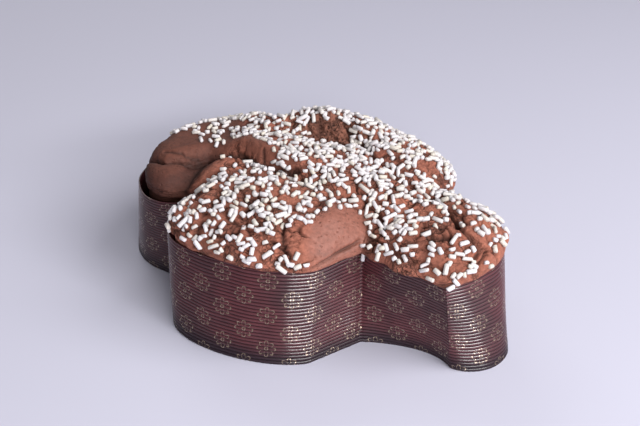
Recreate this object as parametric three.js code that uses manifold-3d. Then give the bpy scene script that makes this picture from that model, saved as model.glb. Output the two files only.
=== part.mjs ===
// A colomba: an enriched spring bread in the outline of a dove, in the ribbed paper case it was baked in.
// Millimetres, +Z up. The tail points along -X, the head along +X, and the wings along -Y and +Y.
// The origin is on the underside of the case, in the middle of its length and of its wing span.
import * as THREE from 'three';
import { mergeVertices } from 'three/addons/utils/BufferGeometryUtils.js';
import Module from 'manifold-3d';

// ---------------------------------------------------------------- driving dimensions

const LENGTH = 300; // base of the case, tail tip to head tip
const SPAN = 200.5; // base of the case, wing tip to wing tip
const WALL_HEIGHT = 69; // a 70 mm strip that leans a little
const PAPER = 1.2; // corrugated paper, wall and floor
const CLEARANCE = 0.8; // air between paper and dough at the side
const FLOOR_GAP = 0.3; // air between the floor of the case and the dough

// Half an outline, as the case stands: the near half is mirrored into the far one.
// Each round stretch is one cubic curve, so a handle is given only where the bend isn't plain.
const BASE = {
  tailTip: [-LENGTH / 2, 0],
  tailWide: [-103, 50],
  neck: [-64, 48.5],
  wingFront: [-56.5, 81.5],
  wingTip: [-23, SPAN / 2],
  wingBack: [48.5, 73],
  armpit: [64, 38],
  armpitHandle: [10.5, -7],
  cheek: [123, 27.5],
  cheekHandle: [17, 11],
  headHandle: [5, 3.3],
  headTip: [LENGTH / 2, 0],
  headBlunt: 22,
};
const RIM = {
  tailTip: [-131, 0],
  tailWide: [-88.5, 61],
  neck: [-55, 46.5],
  wingFront: [-58, 79.5],
  wingTip: [-26, 93.7],
  wingBack: [49, 67],
  armpit: [60.5, 33.5],
  armpitHandle: [9.5, 6],
  cheek: [122.5, 41],
  cheekHandle: [20, 2.5],
  headHandle: [2, -5],
  headTip: [136.7, 0],
  headBlunt: 20.5,
};
const FAR_WING_SHIFT = 20; // the back of the far wing sits this much nearer the head than the near one's
const FAR_CHEEK = 14; // and the far cheek is rounded off, this much further from the head tip
const STEPS = [7, 3, 3, 6, 8, 2, 7, 8]; // points along each stretch, tail tip to head tip

// Where the edge of the crust stands from the outside of the rim, by the direction from the middle:
// [degrees from +X, millimetres]; above zero it hangs over the paper, below zero it stops inside it.
const CRUST_EDGE = [
  [-180, -6],
  [-150, -6.5],
  [-128, -3.5],
  [-108, -0.5],
  [-60, 0.8],
  [-30, 0.5],
  [-15, 0.5],
  [0, -0.5],
  [20, 0],
  [45, 3],
  [120, 1],
  [150, -1],
  [180, -6],
];
const EDGE_RISE = 5; // the crust stands almost upright for this far above the rim
const SHOULDER = 22; // then it rounds over, and is full height this far in from the rim

// Mounds of risen dough, whose surfaces meet in valleys. Tops are heights above the rim.
const MOUNDS = [
  { at: [-98, -6], reach: [46, 56], turn: 0, top: 20.5, fall: 5 }, // tail
  { at: [-8, -46], reach: [62, 44], turn: 0, top: 27, fall: 9 }, // near wing
  { at: [18, 50], reach: [62, 46], turn: 0, top: 29.5, fall: 9 }, // far wing
  { at: [-22, 54], reach: [42, 13], turn: 16, top: 37.5, fall: 8 }, // crest of the far wing
  { at: [-54, 37], reach: [36, 22], turn: 0, top: 30.5, fall: 9 }, // far side of the neck
  { at: [-8, 6], reach: [62, 30], turn: -6, top: 33, fall: 9 }, // middle
  { at: [96, 2], reach: [46, 38], turn: 0, top: 21, fall: 8 }, // head
  { at: [42, -40], reach: [22, 27], turn: 10, top: 26, fall: 11 }, // smooth bulge behind the near wing
  { at: [-46, 2], reach: [24, 10], turn: -18, top: 30.5, fall: 7 }, // roll at the neck
];
const MOUND_BLEND = 2.2; // how softly two mounds meet

// Folds in the crust: lines of points with a depth and a half width. A depth below zero is a roll.
const FOLDS = [
  { depth: 9, half: 8, line: [[-76, -58], [-73, -46], [-77, -30], [-79, -17]] }, // tail from near wing
  // seam between near wing and middle
  { depth: 5, half: 5, line: [[-79, -12], [-65, -7], [-54, -8.5], [-36, -14], [-12, -16], [14, -18]] },
  { depth: -3, half: 6.5, line: [[-58, -1], [-38, -4], [-17, -8], [-3, -10]] }, // roll behind the seam
  { depth: 2, half: 4, line: [[-50, 8], [-30, 4], [-10, 0]] }, // behind the roll
  // between far wing and head
  { depth: 5, half: 5, line: [[-10, 57], [13, 42], [30, 35], [50, 23.5], [70, 24], [94, 14], [108, 1]] },
  { depth: 5, half: 4, line: [[-118, -37], [-98, -39], [-86, -29], [-80, -15]] }, // crease of the tail
  { depth: -2.5, half: 7, line: [[-116, -22], [-98, -24], [-86, -14]] }, // roll above the crease
  { depth: 4, half: 5, line: [[64, -32], [53, -22], [41, -17]] }, // behind the smooth bulge
  { depth: 2, half: 2.5, line: [[40, -76], [48, -63], [53, -55], [57, -45]] }, // lip under the bulge
];
const TEAR = { at: [-12, 36], reach: [27, 12], turn: 27, depth: 5 }; // opened on the far wing
const LUMPS = [ // low waves all over: [wave length along X, along Y, phase, height]
  [31, 44, 0.4, 0.7],
  [-23, 27, 1.9, 0.6],
  [17, -19, 4.1, 0.45],
];
const RINGS = 13; // rings of the crust, rim to middle
const HALVED_AT = [6, 10]; // from each of these rings inwards, half as many points
const RING_SPREAD = 1.45; // above 1 the rings crowd towards the rim

// Sugar nibs: rods strewn on the crust, and the places that they leave bare.
const NIB_RADIUS = 1.5;
const NIB_LENGTHS = [12, 10.5, 9, 8, 7]; // largest first
const NIBS_PER_LENGTH = 36;
const NIB_SIDES = 6;
const NIB_SPACING = 9.5; // least distance between two
const NIB_SUNK = 0.5; // depth of the rod's underside in the crust
const NIB_EDGE = 7; // none nearer to the rim than this
const NIB_TRIES = 6000;
const BARE = [
  { at: [-108, -16], reach: [46, 62], turn: 0 }, // face of the tail
  { at: [46, -42], reach: [22, 27], turn: 10 }, // smooth bulge
  { at: [-12, 36], reach: [24, 11], turn: 27 }, // inside the tear
];
const SEED = 20;

// ---------------------------------------------------------------- small helpers

const sum = (a, b, k = 1) => [a[0] + b[0] * k, a[1] + b[1] * k];
const mix = (a, b, t) => a + (b - a) * t;
const mixPoint = (a, b, t) => [mix(a[0], b[0], t), mix(a[1], b[1], t)];

// The same random numbers on every run, from 0 to 1.
function randomFrom(seed) {
  let state = seed >>> 0;
  return () => {
    state = (state + 0x6d2b79f5) >>> 0;
    let t = state;
    t = Math.imul(t ^ (t >>> 15), t | 1);
    t ^= t + Math.imul(t ^ (t >>> 7), t | 61);
    return ((t ^ (t >>> 14)) >>> 0) / 4294967296;
  };
}

// Squared distance from an ellipse's middle, in units of its reach, so 1 is its edge.
function insideOut({ at, reach, turn }, x, y) {
  const a = THREE.MathUtils.degToRad(turn);
  const dx = x - at[0];
  const dy = y - at[1];
  const along = (dx * Math.cos(a) + dy * Math.sin(a)) / reach[0];
  const across = (-dx * Math.sin(a) + dy * Math.cos(a)) / reach[1];
  return along * along + across * across;
}

function distanceToLine(x, y, points) {
  let best = Infinity;
  for (let i = 1; i < points.length; i += 1) {
    const [ax, ay] = points[i - 1];
    const dx = points[i][0] - ax;
    const dy = points[i][1] - ay;
    const t = THREE.MathUtils.clamp(((x - ax) * dx + (y - ay) * dy) / (dx * dx + dy * dy), 0, 1);
    best = Math.min(best, Math.hypot(x - ax - t * dx, y - ay - t * dy));
  }
  return best;
}

// The triangles between two rings, anticlockwise seen from outside when the second ring is the higher.
// mirrored picks the other diagonal of every cell. A second ring may have half the points of the first.
function bandBetween(a, countA, b, countB, mirrored) {
  const step = countA / countB;
  const index = [];
  for (let i = 0; i < countB; i += 1) {
    const j = (i + 1) % countB;
    const [ai, aj, bi, bj] = [a + i * step, a + j * step, b + i, b + j];
    const between = a + i * step + 1;
    if (step === 2) {
      index.push(ai, between, bi, between, bj, bi, between, aj, bj);
    } else if (mirrored) {
      index.push(ai, aj, bi, aj, bj, bi);
    } else {
      index.push(ai, aj, bj, ai, bj, bi);
    }
  }
  return index;
}

// A closed mesh from rings that run from the bottom up the outside, and a middle point at each end.
function solidFromRings(rings, bottom, top, mirrored) {
  const positions = [bottom, ...rings.flat(), top].flat();
  const last = positions.length / 3 - 1;
  const index = [];
  let start = 1;
  rings.forEach((ring, r) => {
    const next = rings[r + 1];
    if (r === 0) {
      ring.forEach((_, i) => index.push(0, start + ((i + 1) % ring.length), start + i));
    }
    if (next) {
      index.push(...bandBetween(start, ring.length, start + ring.length, next.length, mirrored));
    } else {
      ring.forEach((_, i) => index.push(last, start + i, start + ((i + 1) % ring.length)));
    }
    start += ring.length;
  });
  const geometry = new THREE.BufferGeometry();
  geometry.setAttribute('position', new THREE.Float32BufferAttribute(positions, 3));
  geometry.setIndex(index);
  return geometry;
}

// ---------------------------------------------------------------- outlines

// Half an outline from tail tip to head tip, with y above zero. shift moves the wing towards the head.
function halfOutline(k, shift) {
  const tail = k.tailTip;
  const wide = k.tailWide;
  const neck = k.neck;
  const front = sum(k.wingFront, [shift / 4, 0]);
  const tip = sum(k.wingTip, [shift * 0.8, 0]);
  const back = sum(k.wingBack, [shift, 0]);
  const armpit = sum(k.armpit, [shift * 0.7, 3 * Math.sign(shift)]);
  const backSlope = Math.hypot(armpit[0] - back[0], armpit[1] - back[1]);
  const path = new THREE.Path();
  const curve = (h1, h2, end) => path.bezierCurveTo(...h1, ...h2, ...end);
  path.moveTo(...tail);
  curve([tail[0], wide[1] * 0.55], [mix(wide[0], tail[0], 0.55), wide[1]], wide);
  curve([mix(wide[0], neck[0], 0.4), wide[1]], [mix(neck[0], wide[0], 0.3), mix(neck[1], wide[1], -0.3)], neck);
  curve(mixPoint(neck, front, 0.33), [front[0], mix(front[1], neck[1], 0.3)], front);
  curve([front[0], mix(front[1], tip[1], 0.62)], [mix(tip[0], front[0], 0.55), tip[1]], tip);
  curve([mix(tip[0], back[0], 0.55), tip[1]], mixPoint(back, armpit, -8.5 / backSlope), back);
  path.lineTo(...armpit);
  curve(sum(armpit, k.armpitHandle), sum(k.cheek, k.cheekHandle, -1), k.cheek);
  curve(sum(k.cheek, k.headHandle), [k.headTip[0], k.headBlunt], k.headTip);
  return path.curves.flatMap((piece, i) => piece.getPoints(STEPS[i]).slice(0, -1)).map(p => [p.x, p.y]);
}

// A whole outline, anticlockwise from the head tip: the far half back to the tail, then the near half.
function outline(k) {
  const roundCheek = { cheek: sum(k.cheek, [-FAR_CHEEK, 0]), cheekHandle: [14, 0], headHandle: [12, 0] };
  const far = halfOutline({ ...k, ...roundCheek }, FAR_WING_SHIFT);
  const near = halfOutline(k, 0).map(([x, y]) => [x, -y]);
  return [k.headTip, ...far.slice(1).reverse(), ...near];
}

// Outward unit normals, lengthened at corners so that an offset keeps its distance from both sides.
function cornerNormals(points) {
  const n = points.length;
  return points.map((p, i) => {
    const before = points[(i + n - 1) % n];
    const after = points[(i + 1) % n];
    const a = Math.hypot(p[0] - before[0], p[1] - before[1]);
    const b = Math.hypot(after[0] - p[0], after[1] - p[1]);
    const na = [(p[1] - before[1]) / a, (before[0] - p[0]) / a];
    const nb = [(after[1] - p[1]) / b, (p[0] - after[0]) / b];
    const length = 1 + na[0] * nb[0] + na[1] * nb[1];
    return [(na[0] + nb[0]) / length, (na[1] + nb[1]) / length];
  });
}

const baseLine = outline(BASE);
const rimLine = outline(RIM);
const baseNormals = cornerNormals(baseLine);
const rimNormals = cornerNormals(rimLine);
const closedRim = [...rimLine, rimLine[0]];

// A point of the rim moved sideways. Outwards, the corners' extra length is left off, so they round.
function besideRim(point, i, off) {
  const [nx, ny] = rimNormals[i];
  const length = off > 0 ? Math.hypot(nx, ny) : 1;
  return sum(point, rimNormals[i], off / length);
}

// The wall at a height, moved outwards by an offset that may differ from point to point.
function wallRing(z, offset) {
  const t = z / WALL_HEIGHT;
  return baseLine.map((p, i) => {
    const off = typeof offset === 'number' ? offset : offset[i];
    const low = sum(p, baseNormals[i], off);
    const high = sum(rimLine[i], rimNormals[i], off);
    return [...mixPoint(low, high, t), z];
  });
}

// Heights of the rows of points between floor and rim. Above the upper one the dough may draw in.
const WALL_LEVELS = [WALL_HEIGHT / 2, WALL_HEIGHT - 9];

// ---------------------------------------------------------------- crust

// Height of the crust above the rim, where it is full: the mounds' soft maximum, less folds and tear.
function fullHeight(x, y) {
  const total = MOUNDS.reduce((acc, m) => {
    return acc + Math.exp((m.top - m.fall * insideOut(m, x, y)) / MOUND_BLEND);
  }, 0);
  let height = Math.max(MOUND_BLEND * Math.log(total), EDGE_RISE + 4);
  for (const fold of FOLDS) {
    height -= fold.depth * Math.exp(-((distanceToLine(x, y, fold.line) / fold.half) ** 2));
  }
  height -= TEAR.depth * Math.exp(-(insideOut(TEAR, x, y) ** 2));
  for (const [along, across, phase, size] of LUMPS) {
    height += size * Math.sin((2 * Math.PI * x) / along + phase) * Math.cos((2 * Math.PI * y) / across);
  }
  return height;
}

// From 0 at the rim to 1 where the crust is full: a quarter ellipse.
function shoulder(x, y) {
  const t = Math.min(distanceToLine(x, y, closedRim) / SHOULDER, 1);
  return Math.sqrt(1 - (1 - t) ** 2);
}

function crustZ(x, y) {
  return WALL_HEIGHT + EDGE_RISE + (fullHeight(x, y) - EDGE_RISE) * shoulder(x, y);
}

// The crust's edge against the rim in one direction, between the stations of CRUST_EDGE.
function edgeOffset([x, y]) {
  const angle = THREE.MathUtils.radToDeg(Math.atan2(y, x));
  const after = CRUST_EDGE.findIndex(([a]) => a >= angle);
  const [a0, e0] = CRUST_EDGE[Math.max(after - 1, 0)];
  const [a1, e1] = CRUST_EDGE[Math.max(after, 1)];
  return mix(e0, e1, (angle - a0) / (a1 - a0));
}

// The dough's cells are split the way that the inside of the case is, whose rings run downwards, so the
// two walls stay the same gap apart.
function doughSolid() {
  const inside = -PAPER - CLEARANCE;
  const edge = rimLine.map(edgeOffset);
  const mouth = edge.map(e => inside + Math.min(e, 0));
  const lip = [[0.4, 0], [1.8, 0.72], [4.2, 1.08]]; // height above the rim, share of the way out
  const rings = [
    wallRing(PAPER + FLOOR_GAP, inside),
    ...WALL_LEVELS.map(z => wallRing(z, inside)),
    ...lip.map(([rise, share]) => rimLine.map((p, i) => {
      const off = mix(mouth[i], edge[i], share);
      return [...besideRim(p, i, off), WALL_HEIGHT + rise];
    })),
  ];
  for (let r = 0; r < RINGS; r += 1) {
    const scale = 1 - (r / RINGS) ** RING_SPREAD;
    const ring = rimLine.map((p, i) => {
      const [x, y] = [p[0] * scale, p[1] * scale];
      const out = edge[i] * (1 - shoulder(x, y));
      return [...besideRim([x, y], i, out), crustZ(x, y)];
    });
    const halvings = HALVED_AT.filter(h => r >= h).length;
    rings.push(ring.filter((_, i) => i % 2 ** halvings === 0));
  }
  return solidFromRings(rings, [0, 0, PAPER + FLOOR_GAP], [0, 0, crustZ(0, 0)], true);
}

// ---------------------------------------------------------------- paper case

function caseSolid() {
  const rings = [
    wallRing(0, 0),
    ...WALL_LEVELS.map(z => wallRing(z, 0)),
    wallRing(WALL_HEIGHT, 0),
    wallRing(WALL_HEIGHT, -PAPER),
    ...WALL_LEVELS.toReversed().map(z => wallRing(z, -PAPER)),
    wallRing(PAPER, -PAPER),
  ];
  return solidFromRings(rings, [0, 0, 0], [0, 0, PAPER], false);
}

// ---------------------------------------------------------------- sugar nibs

// Places for the rods: random, each kept apart from the ones before it, none on the bare patches.
function nibPlaces() {
  const random = randomFrom(SEED);
  const wanted = NIB_LENGTHS.flatMap(length => Array(NIBS_PER_LENGTH).fill(length));
  const box = new THREE.Box2().setFromPoints(rimLine.map(p => new THREE.Vector2(...p)));
  const closed = new THREE.Path(rimLine.map(p => new THREE.Vector2(...p)));
  const places = [];
  for (let tries = 0; tries < NIB_TRIES && places.length < wanted.length; tries += 1) {
    const x = mix(box.min.x, box.max.x, random());
    const y = mix(box.min.y, box.max.y, random());
    const turn = random() * Math.PI;
    const tilt = (random() - 0.5) * 0.35;
    const clear = places.every(p => Math.hypot(p.x - x, p.y - y) > NIB_SPACING);
    const bare = BARE.some(patch => insideOut(patch, x, y) < 1);
    const inside = pointInside(x, y, closed) && distanceToLine(x, y, closedRim) > NIB_EDGE;
    if (clear && inside && !bare) {
      places.push({ x, y, turn, tilt, length: wanted[places.length] });
    }
  }
  return places;
}

// A point is inside an outline when a line from it crosses the outline an odd number of times.
function pointInside(x, y, path) {
  const points = path.getPoints(1);
  let inside = false;
  points.forEach((p, i) => {
    const q = points[(i + 1) % points.length];
    const crosses = p.y > y !== q.y > y && x < ((q.x - p.x) * (y - p.y)) / (q.y - p.y) + p.x;
    inside = crosses ? !inside : inside;
  });
  return inside;
}

// One rod, lying on the face of the crust below its place, with its underside a little sunk.
function nibGeometry({ x, y, turn, tilt, length }, crustMesh) {
  const above = new THREE.Vector3(x, y, 2 * WALL_HEIGHT);
  const ray = new THREE.Raycaster(above, new THREE.Vector3(0, 0, -1));
  const [hit] = ray.intersectObject(crustMesh);
  const up = hit.face.normal;
  const along = new THREE.Vector3(Math.cos(turn), Math.sin(turn), 0);
  along.addScaledVector(up, -along.dot(up)).normalize();
  const leaning = along.clone().addScaledVector(up, tilt).normalize();
  const place = hit.point.clone().addScaledVector(up, NIB_RADIUS - NIB_SUNK);
  const rod = new THREE.CylinderGeometry(NIB_RADIUS, NIB_RADIUS, length, NIB_SIDES);
  rod.applyQuaternion(new THREE.Quaternion().setFromUnitVectors(new THREE.Vector3(0, 1, 0), leaning));
  return rod.translate(place.x, place.y, place.z);
}

// ---------------------------------------------------------------- joining

const wasm = await Module();
wasm.setup();

function toManifold(geometry) {
  geometry.deleteAttribute('normal');
  geometry.deleteAttribute('uv');
  const merged = mergeVertices(geometry, 1e-4);
  return new wasm.Manifold(new wasm.Mesh({
    numProp: 3,
    vertProperties: new Float32Array(merged.attributes.position.array),
    triVerts: new Uint32Array(merged.index.array),
  }));
}

function fromManifold(solid) {
  const mesh = solid.getMesh();
  const geometry = new THREE.BufferGeometry();
  geometry.setAttribute('position', new THREE.BufferAttribute(mesh.vertProperties, 3));
  geometry.setIndex(new THREE.BufferAttribute(mesh.triVerts, 1));
  geometry.computeVertexNormals();
  return geometry;
}

// ---------------------------------------------------------------- the whole thing

const paper = new THREE.MeshStandardMaterial({ color: 0x4a2a2c, roughness: 0.45, metalness: 0.1 });
const crust = new THREE.MeshStandardMaterial({ color: 0x8a5242, roughness: 0.7, metalness: 0 });

const dough = new THREE.Mesh(doughSolid(), crust);
const nibs = nibPlaces().map(place => toManifold(nibGeometry(place, dough)));
const joined = nibs.reduce((solid, nib) => solid.add(nib), toManifold(dough.geometry));
// Nibs that lie across each other can seal a pocket of air: keeping only the largest body fills it.
const [cake] = joined.decompose().sort((a, b) => b.volume() - a.volume());

const caseMesh = new THREE.Mesh(caseSolid(), paper);
caseMesh.name = 'paper_case';
const cakeMesh = new THREE.Mesh(fromManifold(cake), crust);
cakeMesh.name = 'cake';

const group = new THREE.Group();
group.add(caseMesh, cakeMesh);

export default group;
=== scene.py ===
# %% [markdown]
# # A colomba in its paper case
# A colomba is a sweet spring bread, risen and baked in a paper case with the outline of a dove.
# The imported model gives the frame: its box, its two solids and the body that they share. This lesson
# dresses it in three pieces: the ribbed paper, the baked crust and the sugar nibs strewn on it.

# %% Load the frame
import bpy
import numpy as np
from mathutils import Matrix, Vector


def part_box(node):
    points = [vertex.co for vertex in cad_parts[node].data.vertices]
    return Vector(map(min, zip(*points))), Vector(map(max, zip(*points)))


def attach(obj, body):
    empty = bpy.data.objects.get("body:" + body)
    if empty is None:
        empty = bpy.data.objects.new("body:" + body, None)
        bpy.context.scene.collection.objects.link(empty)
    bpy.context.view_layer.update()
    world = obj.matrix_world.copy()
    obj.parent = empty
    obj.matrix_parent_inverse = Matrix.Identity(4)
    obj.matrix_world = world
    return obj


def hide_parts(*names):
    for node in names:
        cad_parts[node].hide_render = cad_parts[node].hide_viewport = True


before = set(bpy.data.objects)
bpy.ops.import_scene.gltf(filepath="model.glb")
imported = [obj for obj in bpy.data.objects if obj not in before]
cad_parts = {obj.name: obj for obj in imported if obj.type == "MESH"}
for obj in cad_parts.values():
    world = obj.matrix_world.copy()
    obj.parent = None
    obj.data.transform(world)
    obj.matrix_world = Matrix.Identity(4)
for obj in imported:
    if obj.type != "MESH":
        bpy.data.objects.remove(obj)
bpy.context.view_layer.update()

MM = 0.001  # all shapes below are worked out in millimetres
case_low, case_high = [np.array(corner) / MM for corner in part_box("paper_case")]
cake_low, cake_high = [np.array(corner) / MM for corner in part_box("cake")]
LENGTH, SPAN, WALL = case_high - case_low
print(f"case {LENGTH:.1f} x {SPAN:.1f} x {WALL:.1f} mm, crust up to {cake_high[2]:.1f} mm")

# %% [markdown]
# ## Shared tools
# Every new piece is a grid of points that goes round the loaf, one row above the other, worked out as
# whole arrays. It could be sculpted, but a formula stays exact when a size changes. The rows join into
# quads, and the first and last rows close across the loaf like a zip, so each piece is one closed skin.

# %% Make a mesh from rows of points
def mesh_from_rows(name, rows, head=0):
    """A closed skin: rows is (row, column, xyz) in mm, wrapping round its columns, lowest row first.

    Each quad joins two neighbours in a row to the two above them. The first and the last row close like a
    zip, each point across to its mirror point; head is how far the columns are rolled from the head tip.
    """
    count_rows, columns = rows.shape[:2]
    number = np.arange(count_rows * columns).reshape(count_rows, columns)
    right = np.roll(number, -1, axis=1)
    quads = [np.stack([number[:-1], right[:-1], right[1:], number[1:]], axis=-1).reshape(-1, 4)]
    triangles = []
    half = columns // 2
    for row, flip in ((0, -1), (-1, 1)):
        ring = np.roll(number[row], head)
        far, near = ring[1:half], ring[:half:-1]
        quads.append(np.stack([far[:-1], far[1:], near[1:], near[:-1]], axis=-1)[:, ::flip])
        ends = np.array([[ring[0], far[0], near[0]], [ring[half], near[-1], far[-1]]])
        triangles.append(ends[:, ::flip])
    return mesh_from_arrays(name, rows.reshape(-1, 3), np.vstack(quads), np.vstack(triangles))


def mesh_from_arrays(name, points, quads, triangles):
    """Points in mm and two arrays of corner numbers, put into a smooth-shaded mesh object in metres."""
    corners = np.concatenate([quads.ravel(), triangles.ravel()])
    sizes = np.concatenate([np.full(len(quads), 4), np.full(len(triangles), 3)])
    mesh = bpy.data.meshes.new(name)
    mesh.vertices.add(len(points))
    mesh.vertices.foreach_set("co", (points * MM).astype(np.float32).ravel())
    mesh.loops.add(len(corners))
    mesh.loops.foreach_set("vertex_index", corners.astype(np.int32))
    mesh.polygons.add(len(sizes))
    mesh.polygons.foreach_set("loop_start", (np.cumsum(sizes) - sizes).astype(np.int32))
    mesh.update(calc_edges=True)
    mesh.polygons.foreach_set("use_smooth", np.ones(len(sizes), bool))
    mesh.validate()
    piece = bpy.data.objects.new(name, mesh)
    bpy.context.scene.collection.objects.link(piece)
    print(f"{name}: {len(points)} points, {int((sizes - 2).sum())} triangles")
    return piece


def paint(piece, attribute, values):
    """Keep one number for each point of a piece, for its material to read by name."""
    layer = piece.data.attributes.new(attribute, "FLOAT", "POINT")
    layer.data.foreach_set("value", values.astype(np.float32))


# %% [markdown]
# Risen dough is uneven at every size. Two kinds of seeded noise give that: soft hills between random
# heights on a lattice, and cells round random points, whose borders run like cracks in a dry crust.

# %% Noise
HILL_LATTICE = 32  # the random heights repeat after this many steps
CELL_LATTICE = 16  # and the random points after this many


def hills(points, size, seed):
    """Smooth random heights from -1 to 1: each lattice cube's eight corner values, eased in between."""
    table = np.random.default_rng(seed).uniform(-1, 1, (HILL_LATTICE,) * 3)
    whole = np.floor(points / size).astype(int)
    ease = points / size - whole
    ease = ease * ease * (3 - 2 * ease)
    total = np.zeros(len(points))
    for corner in np.ndindex(2, 2, 2):
        share = np.where(np.array(corner), ease, 1 - ease).prod(axis=1)
        total += share * table[tuple(((whole + corner) % HILL_LATTICE).T)]
    return total


def layered(points, size, seed, layers, fade):
    """Hills upon hills, each layer half the size and fade times the height of the one before."""
    return sum(fade**i * hills(points, size / 2**i, seed + i) for i in range(layers))


def cell_borders(points, size, seed):
    """How much further the second nearest random point is than the nearest: zero along the borders."""
    table = np.random.default_rng(seed).random((CELL_LATTICE,) * 3 + (3,))
    whole = np.floor(points / size).astype(int)
    near = np.full(len(points), np.inf)
    second = np.full(len(points), np.inf)
    for corner in np.ndindex(3, 3, 3):
        cell = whole + corner - 1
        spot = (cell + table[tuple((cell % CELL_LATTICE).T)]) * size
        far = np.linalg.norm(points - spot, axis=1)
        second = np.minimum(second, np.maximum(near, far))
        near = np.minimum(near, far)
    return second - near


def smooth_step(value, low, high):
    """From 0 at low to 1 at high, level at both ends."""
    t = np.clip((value - low) / (high - low), 0, 1)
    return t * t * (3 - 2 * t)


print("hills at three points:", hills(np.arange(9.0).reshape(3, 3), 5, 1).round(2))

# %% [markdown]
# ## The outline of the case
# The paper strip follows one outline at the base and leans to another at the rim. Each half of both is
# eight stretches: round ones are single cubic curves, and the folds at the neck, the armpit and the
# cheek are plain corners. The far wing has shifted towards the head, and the far cheek is rounder.

# %% Sizes of base and rim
BASE = dict(
    tail_tip=(-LENGTH / 2, 0), tail_wide=(-103, 50), neck=(-64, 48.5), wing_front=(-56.5, 81.5),
    wing_tip=(-23, SPAN / 2), wing_back=(48.5, 73), armpit=(64, 38), armpit_handle=(10.5, -7),
    cheek=(123, 27.5), cheek_handle=(17, 11), head_handle=(5, 3.3), head_tip=(LENGTH / 2, 0), head_blunt=22,
)
RIM = dict(
    tail_tip=(-131, 0), tail_wide=(-88.5, 61), neck=(-55, 46.5), wing_front=(-58, 79.5),
    wing_tip=(-26, 93.7), wing_back=(49, 67), armpit=(60.5, 33.5), armpit_handle=(9.5, 6),
    cheek=(122.5, 41), cheek_handle=(20, 2.5), head_handle=(2, -5), head_tip=(136.7, 0), head_blunt=20.5,
)
WING_BACK_HANDLE = 8.5
FAR_WING_SHIFT = 20
WING_FOLLOWS = dict(wing_front=0.25, wing_tip=0.8, wing_back=1, armpit=0.7)  # shares of that shift
FAR_ARMPIT_OUT = 3
FAR_CHEEK_BACK = 14
FAR_CHEEK_HANDLES = dict(cheek_handle=(14, 0), head_handle=(12, 0))
print(f"the rim is {RIM['head_tip'][0] - RIM['tail_tip'][0]:.0f} mm long")


# %% Draw an outline
def bezier(p0, h1, h2, p1, steps):
    """A cubic curve from p0 to p1: the four points weighted by the terms of ((1 - t) + t) cubed."""
    t = np.linspace(0, 1, steps, endpoint=False)[:, None]
    p0, h1, h2, p1 = [np.asarray(p, float) for p in (p0, h1, h2, p1)]
    return (1 - t) ** 3 * p0 + 3 * (1 - t) ** 2 * t * h1 + 3 * (1 - t) * t**2 * h2 + t**3 * p1


def mix(a, b, t):
    """The point, or number, a share t of the way from a to b."""
    return a + (b - a) * t


def half_outline(sizes, shift, steps):
    """Eight stretches from tail tip to head tip with y above zero, the last point left off.

    A handle lies a set share of the way from one named point to the next. shift moves the wing.
    """
    k = {name: np.array(value, float) for name, value in sizes.items()}
    tail, wide, neck, cheek = k["tail_tip"], k["tail_wide"], k["neck"], k["cheek"]
    front, tip, back, armpit = [k[name] + [shift * part, 0] for name, part in WING_FOLLOWS.items()]
    armpit = armpit + [0, FAR_ARMPIT_OUT * np.sign(shift)]
    back_slope = (armpit - back) / np.linalg.norm(armpit - back)
    head, blunt = k["head_tip"], float(k["head_blunt"])
    stretches = [
        (tail, (tail[0], wide[1] * 0.55), (mix(wide[0], tail[0], 0.55), wide[1]), wide),
        (wide, (mix(wide[0], neck[0], 0.4), wide[1]),
         (mix(neck[0], wide[0], 0.3), mix(neck[1], wide[1], -0.3)), neck),
        (neck, mix(neck, front, 0.33), (front[0], mix(front[1], neck[1], 0.3)), front),
        (front, (front[0], mix(front[1], tip[1], 0.62)), (mix(tip[0], front[0], 0.55), tip[1]), tip),
        (tip, (mix(tip[0], back[0], 0.55), tip[1]), back - WING_BACK_HANDLE * back_slope, back),
        (back, mix(back, armpit, 0.33), mix(back, armpit, 0.67), armpit),
        (armpit, armpit + k["armpit_handle"], cheek - k["cheek_handle"], cheek),
        (cheek, cheek + k["head_handle"], (head[0], blunt), head),
    ]
    return np.concatenate([bezier(*stretch, n) for stretch, n in zip(stretches, steps)])


def outline(sizes, steps):
    """The whole outline, anticlockwise from the head tip: the far half back to the tail, then the near."""
    far_cheek = (sizes["cheek"][0] - FAR_CHEEK_BACK, sizes["cheek"][1])
    far = half_outline(dict(sizes, cheek=far_cheek, **FAR_CHEEK_HANDLES), FAR_WING_SHIFT, steps)
    near = half_outline(sizes, 0, steps) * [1, -1]
    return np.concatenate([[sizes["head_tip"]], far[1:][::-1], near])


def corner_normals(points):
    """Outward normals of a closed outline, longer at corners so that an offset keeps its distance."""
    ahead = np.roll(points, -1, axis=0) - points
    side = np.stack([ahead[:, 1], -ahead[:, 0]], axis=1) / np.linalg.norm(ahead, axis=1)[:, None]
    before = np.roll(side, 1, axis=0)
    return (before + side) / (1 + (before * side).sum(axis=1))[:, None]


print("rim reaches", outline(RIM, (8,) * 8).max(axis=0).round(1), "mm")

# %% [markdown]
# ## The ribbed paper case
# The case is corrugated baking paper: a dark maroon strip with fine level ribs and a printed gold
# flower. The ribs catch the light in thin lines and give the outline tiny scallops, which a bump alone
# can't do, so they are modelled: a rounded ridge repeated up the wall, six rows of points to a rib.

# %% Where the wall runs
WALL_STEPS = (46, 20, 19, 22, 46, 19, 34, 30)  # points on each stretch
base_line = outline(BASE, WALL_STEPS)
rim_line = outline(RIM, WALL_STEPS)
wall_start = sum(WALL_STEPS) // 2  # the strip's ends meet on the far side
base_line, rim_line = [np.roll(line, -wall_start, axis=0) for line in (base_line, rim_line)]


def along(line):
    """Distance from the first point to each point of a closed line, with the whole length last."""
    ahead = np.linalg.norm(np.roll(line, -1, axis=0) - line, axis=1)
    return np.concatenate([[0], np.cumsum(ahead)])


strip = (along(base_line) + along(rim_line)) / 2
STRIP_LENGTH = strip[-1]
print(f"paper strip {STRIP_LENGTH:.0f} mm round")

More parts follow.
